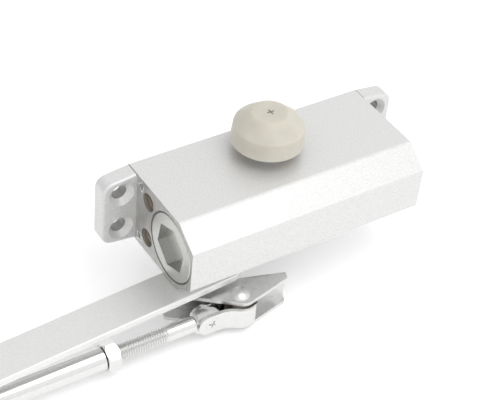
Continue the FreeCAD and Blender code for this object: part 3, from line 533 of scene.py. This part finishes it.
def thread_shape(bm):
    """Helical thread on the rod's first stretch, running out before the smooth shank."""
    length = THREAD_END - ROD_START
    steps = int(length / THREAD_PITCH * THREAD_RINGS_PER_PITCH)
    rings = [thread_ring(bm, ROD_START + length * step / steps) for step in range(steps + 1)]
    for first, second in zip(rings, rings[1:]):
        for point in range(THREAD_POINTS_AROUND):
            after = (point + 1) % THREAD_POINTS_AROUND
            face = bm.faces.new((first[point], first[after], second[after], second[point]))
            centre = face.calc_center_median()
            # Faces below the root radius take the second material: painted shade in the grooves
            if math.hypot(centre.y, centre.z) < THREAD_ROOT_RADIUS:
                face.material_index = 1
    bm.faces.new(list(reversed(rings[0])))
    bm.faces.new(rings[-1])


def threaded_rod():
    """Rod with a real thread; its shank and tongue are the frame's own."""
    place = forearm_matrix()
    bm = bmesh.new()
    bm.from_mesh(nodes["threaded_rod"].data)
    bm.transform(place.inverted())
    bmesh.ops.remove_doubles(bm, verts=bm.verts, dist=WELD_DISTANCE)
    bmesh.ops.dissolve_limit(bm, angle_limit=math.radians(FLAT_ANGLE), verts=bm.verts, edges=bm.edges)
    cut = bmesh.ops.bisect_plane(
        bm,
        geom=bm.verts[:] + bm.edges[:] + bm.faces[:],
        plane_co=(THREAD_END, 0, 0),
        plane_no=(1, 0, 0),
        clear_inner=True,
    )
    rim = [item for item in cut["geom_cut"] if isinstance(item, bmesh.types.BMEdge)]
    bmesh.ops.edgeloop_fill(bm, edges=rim)
    thread_shape(bm)
    bmesh.ops.recalc_face_normals(bm, faces=bm.faces)
    bm.transform(place)
    piece = add_piece("rod_with_thread", bm, metals["bright_plate"], "rod")
    # The second material is painted shade for the thread's grooves
    piece.data.materials.append(metals["thread_root_shade"])
    keep_creases(piece)
    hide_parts("threaded_rod")


def stake_matrix(level, lump):
    """Place, turn and size of one lump, uneven by fixed waves; the level is -1 below and 1 above."""
    wander = STAKE_TURN_WANDER * math.sin(STAKE_TURN_WAVE * lump)
    angle = 2 * math.pi * (lump + wander) / STAKE_LUMPS
    reach = STAKE_REACH + STAKE_REACH_WANDER * math.sin(STAKE_REACH_WAVE * lump + level)
    width = STAKE_WIDTH + STAKE_WIDTH_WANDER * math.cos(STAKE_WIDTH_WAVE * lump + level)
    middle = Vector((-END_FACE_X, GALLERY_Y, level * GALLERY_Z))
    place = middle + reach * Vector((0, math.cos(angle), math.sin(angle)))
    size = Matrix.Diagonal((STAKE_HEIGHT, width, STAKE_LENGTH, 1))
    return Matrix.Translation(place) @ Matrix.Rotation(angle, 4, "X") @ size


def staked_metal():
    """Body metal punched over the two gallery plugs: a ring of small lumps round each."""
    bm = bmesh.new()
    for level in (-1, 1):
        for lump in range(STAKE_LUMPS):
            bmesh.ops.create_icosphere(bm, subdivisions=2, radius=1.0, matrix=stake_matrix(level, lump))
    bm.transform(Matrix.Scale(MM, 4))
    add_piece("staked_metal", bm, metals["bright_plate"], "closer")


def closing_spring():
    """Copy of the closing spring, welded and attached to the closer; in the closer the piston squeezes it
    against the right-hand plug.
    """
    bm = bmesh.new()
    bm.from_mesh(nodes["main_spring"].data)
    bmesh.ops.remove_doubles(bm, verts=bm.verts, dist=WELD_DISTANCE * MM)
    piece = add_piece("closing_spring", bm, metals["spring_steel"], "closer")
    keep_creases(piece)
    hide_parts("main_spring")
    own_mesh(piece)


def add_camera():
    data = bpy.data.cameras.new("camera")
    data.sensor_width = SENSOR_WIDTH
    data.sensor_fit = "HORIZONTAL"
    data.lens = FOCAL_PIXELS / IMAGE_WIDTH * SENSOR_WIDTH
    data.clip_start = NEAR_CLIP
    data.clip_end = FAR_CLIP
    camera = bpy.data.objects.new("camera", data)
    axes = Matrix((CAMERA_RIGHT, CAMERA_UP, CAMERA_BACK)).transposed().to_4x4()
    camera.matrix_world = Matrix.Translation(CAMERA_PLACE) @ axes
    link(camera)
    bpy.context.scene.camera = camera


def seen_directly(tree):
    """1 for the camera, mirror and glass rays that should meet plain white."""
    path = tree.nodes.new("ShaderNodeLightPath").outputs
    camera_or_mirror = math_node(tree, "MAXIMUM", path["Is Camera Ray"], path["Is Glossy Ray"])
    return math_node(tree, "MAXIMUM", camera_or_mirror, path["Is Transmission Ray"])


def add_table():
    """White table just under the shoe, with a lift for the rays that see it."""
    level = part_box("shoe")[0][2] - TABLE_GAP
    material, tree, shader = new_material("white_table")
    set_inputs(shader, Base_Color=TABLE_COLOUR, Roughness=TABLE_ROUGHNESS, Emission_Color=WHITE)
    lift = math_node(tree, "MULTIPLY", seen_directly(tree), TABLE_LIFT)
    tree.links.new(lift, shader.inputs["Emission Strength"])
    bm = bmesh.new()
    place = Matrix.Translation((0, 0, level))
    bmesh.ops.create_grid(bm, x_segments=1, y_segments=1, size=TABLE_HALF_SIDE, matrix=place)
    floor = mesh_object("table_top", bm, material)


def add_world():
    """Room light, brighter from the right, the front and overhead; the camera itself sees white."""
    world = bpy.data.worlds.new("room")
    bpy.context.scene.world = world
    world.use_nodes = True
    tree = world.node_tree
    room = tree.nodes["Background"]
    set_inputs(room, Color=WHITE)
    place = tree.nodes.new("ShaderNodeTexCoord")
    lean = tree.nodes.new("ShaderNodeVectorMath")
    lean.operation = "DOT_PRODUCT"
    lean.inputs[1].default_value = ROOM_LEAN
    tree.links.new(place.outputs["Generated"], lean.inputs[0])
    level = math_node(tree, "ADD", lean.outputs["Value"], ROOM_LEVEL)
    tree.links.new(level, room.inputs["Strength"])
    white = tree.nodes.new("ShaderNodeBackground")
    set_inputs(white, Color=WHITE)
    path = tree.nodes.new("ShaderNodeLightPath")
    mix = tree.nodes.new("ShaderNodeMixShader")
    tree.links.new(path.outputs["Is Camera Ray"], mix.inputs["Fac"])
    tree.links.new(room.outputs[0], mix.inputs[1])
    tree.links.new(white.outputs[0], mix.inputs[2])
    tree.links.new(mix.outputs[0], tree.nodes["World Output"].inputs["Surface"])


def add_lamp():
    """Soft square lamp overhead."""
    data = bpy.data.lights.new("overhead_box", "AREA")
    data.shape = "SQUARE"
    data.size = LAMP_SIDE
    data.energy = LAMP_POWER
    lamp = bpy.data.objects.new("overhead_box", data)
    lamp.location = LAMP_PLACE
    lamp.rotation_euler = (Vector(LAMP_AIM) - Vector(LAMP_PLACE)).to_track_quat("-Z", "Y").to_euler()
    link(lamp)


threaded_rod()
staked_metal()
closing_spring()
add_camera()
add_table()
add_world()
add_lamp()

bpy.context.scene.view_settings.view_transform = "Standard"
